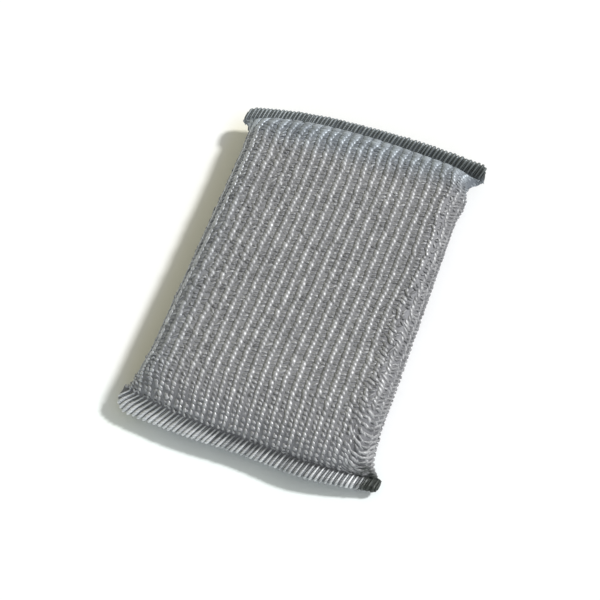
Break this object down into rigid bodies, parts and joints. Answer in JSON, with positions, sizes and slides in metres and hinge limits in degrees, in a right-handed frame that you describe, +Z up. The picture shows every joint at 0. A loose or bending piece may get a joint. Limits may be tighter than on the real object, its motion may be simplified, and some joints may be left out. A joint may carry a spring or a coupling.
{
  "type": "kitchen sponge",
  "caption": "Flat kitchen scouring sponge: a foam slab in a ribbed tube of metallic knit, closed by an overlocked seam at each end.",
  "frame": {"origin": "under the middle of the pad, on the surface that it lies on", "axes": "+X across the pad, +Y along its ribs towards the back seam, +Z up through its thickness"},
  "size_m": [0.0876, 0.1338, 0.017],
  "materials": {
    "metallic_knit": "silver-grey metallic yarn knit",
    "foam": "open-cell foam",
    "metallic_thread": "silver metallic overlock thread"
  },
  "bodies": {
    "root": {"knitted_cover": "metallic_knit", "foam_core": "foam", "front_seam": "metallic_thread", "back_seam": "metallic_thread"}
  },
  "joints": []
}
